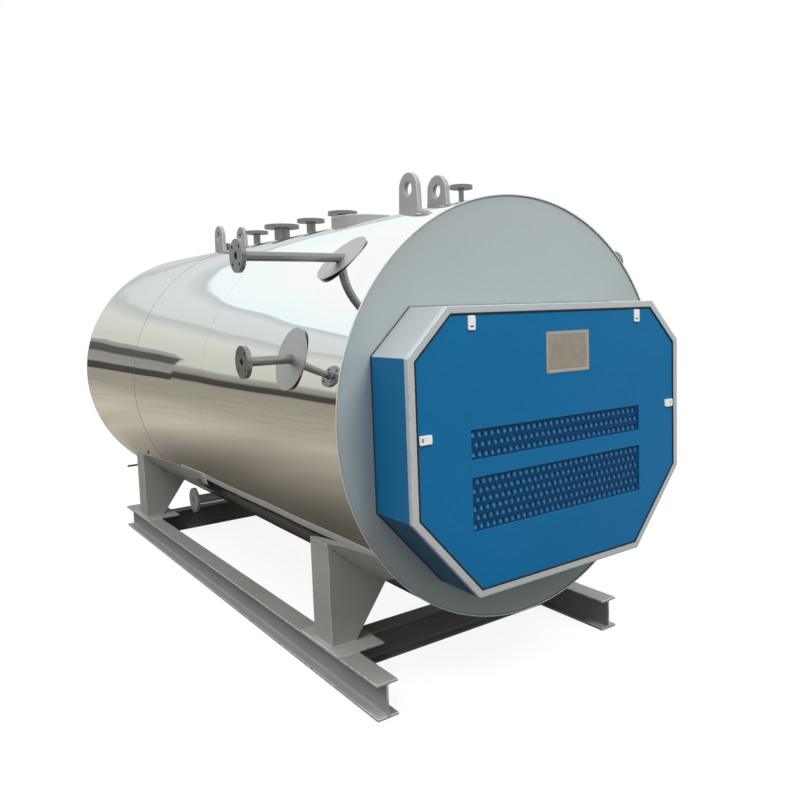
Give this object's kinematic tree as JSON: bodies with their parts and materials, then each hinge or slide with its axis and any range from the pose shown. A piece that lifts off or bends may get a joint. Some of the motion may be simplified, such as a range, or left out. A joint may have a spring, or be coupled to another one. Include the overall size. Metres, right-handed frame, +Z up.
{
  "type": "electric industrial boiler",
  "caption": "Horizontal electric boiler in polished cladding, with an octagonal terminal hood with vents, flanged nozzles, lifting lugs and legs on a steel beam skid.",
  "frame": {"origin": "on the floor, under the middle of the whole length, on the vertical plane of symmetry of the shell", "axes": "+Z up, +Y along the boiler axis from the hood to the rear, +X to the right seen from the hood"},
  "size_m": [1.906, 3.828, 2.048],
  "materials": {
    "grey_paint": "satin grey machinery enamel",
    "silver_paint": "satin silver-grey paint",
    "blue_paint": "satin blue powder coat",
    "dark_blue_paint": "dark blue perforated sheet",
    "baffle_blue_paint": "blue painted sheet",
    "polished_stainless": "mirror-polished stainless sheet",
    "satin_stainless": "satin stainless sheet",
    "brushed_plate": "brushed stainless plate",
    "white_plastic": "white moulded plastic",
    "boiler_steel": "bare boiler plate"
  },
  "bodies": {
    "root": {"cladding_front": "polished_stainless", "cladding_middle": "polished_stainless", "cladding_rear": "polished_stainless", "cover_clips": "white_plastic", "cross_beam_front": "grey_paint", "cross_beam_rear": "grey_paint", "crown_handhole": "grey_paint", "crown_ring": "satin_stainless", "drain_nozzle": "grey_paint", "feed_water_nozzle": "grey_paint", "first_safety_valve_nozzle": "grey_paint", "front_head_plate": "silver_paint", "gauge_nozzle": "grey_paint", "hood_cover": "blue_paint", "hood_front_frame": "silver_paint", "hood_left_side": "blue_paint", "hood_lower_casing": "blue_paint", "hood_right_side": "blue_paint", "hood_upper_casing": "silver_paint", "leg_base_pads": "grey_paint", "leg_front_left": "grey_paint", "leg_front_right": "grey_paint", "leg_rear_left": "grey_paint", "leg_rear_right": "grey_paint", "level_nozzle_lower_left": "grey_paint", "level_nozzle_lower_right": "grey_paint", "level_nozzle_upper_left": "grey_paint", "level_nozzle_upper_right": "grey_paint", "lifting_lug_front_left": "grey_paint", "lifting_lug_front_right": "grey_paint", "lifting_lug_rear_left": "grey_paint", "lifting_lug_rear_right": "grey_paint", "nameplate": "brushed_plate", "nozzle_rosettes": "satin_stainless", "pressure_drum": "boiler_steel", "rear_head_plate": "silver_paint", "sampling_stub": "grey_paint", "second_safety_valve_nozzle": "grey_paint", "skid_beam_left": "grey_paint", "skid_beam_right": "grey_paint", "steam_outlet_nozzle": "grey_paint", "vent_baffles": "baffle_blue_paint", "vent_grille_lower": "dark_blue_paint", "vent_grille_upper": "dark_blue_paint", "vent_plug": "grey_paint"}
  },
  "joints": []
}
